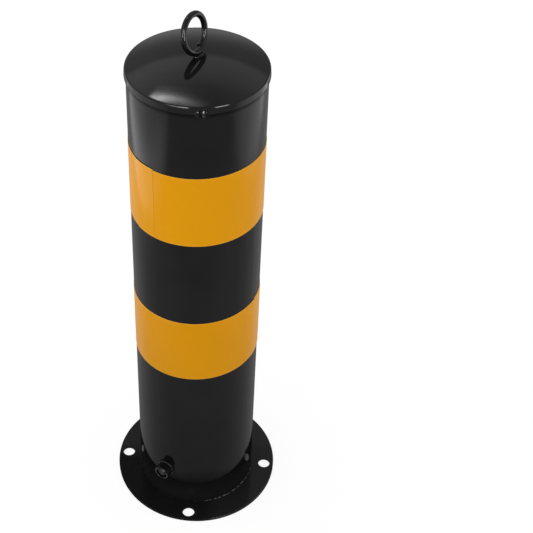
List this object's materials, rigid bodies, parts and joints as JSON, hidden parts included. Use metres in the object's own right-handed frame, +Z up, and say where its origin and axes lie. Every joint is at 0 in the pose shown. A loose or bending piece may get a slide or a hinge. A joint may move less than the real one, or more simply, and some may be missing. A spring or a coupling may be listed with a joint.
{
  "type": "safety barrier post",
  "caption": "Removable round steel barrier post with a domed cap, lifting ring, two yellow reflective bands and a lock, on a bolt-down base plate.",
  "frame": {"origin": "centre of the underside of the base plate, on the ground", "axes": "+Z up the post, the lock faces -Y, +X to the right when facing the lock"},
  "size_m": [0.16, 0.16, 0.525],
  "materials": {
    "black_paint": "gloss black paint on steel",
    "yellow_tape": "yellow reflective film under a clear face",
    "dark_steel": "blackened steel"
  },
  "bodies": {
    "base": {"base_flange": "black_paint", "locating_sleeve": "black_paint", "sleeve_weld": "black_paint"},
    "post": {"post_tube": "black_paint", "top_cap": "black_paint", "cap_tack_welds": "black_paint", "lifting_ring": "black_paint", "lifting_ring_weld": "black_paint", "upper_reflective_band": "yellow_tape", "lower_reflective_band": "yellow_tape", "lock_boss": "black_paint", "lock_boss_weld": "black_paint"},
    "lock_screw": {"lock_bolt": "dark_steel", "lock_bolt_pin": "dark_steel"}
  },
  "joints": [
    {"name": "post_lift", "type": "slide", "parent": "base", "child": "post", "axis": [0, 0, 1], "range_m": [0, 0.12]},
    {"name": "lock_bolt_drive", "type": "slide", "parent": "post", "child": "lock_screw", "axis": [0, 1, 0], "range_m": [0, 0.004]}
  ]
}
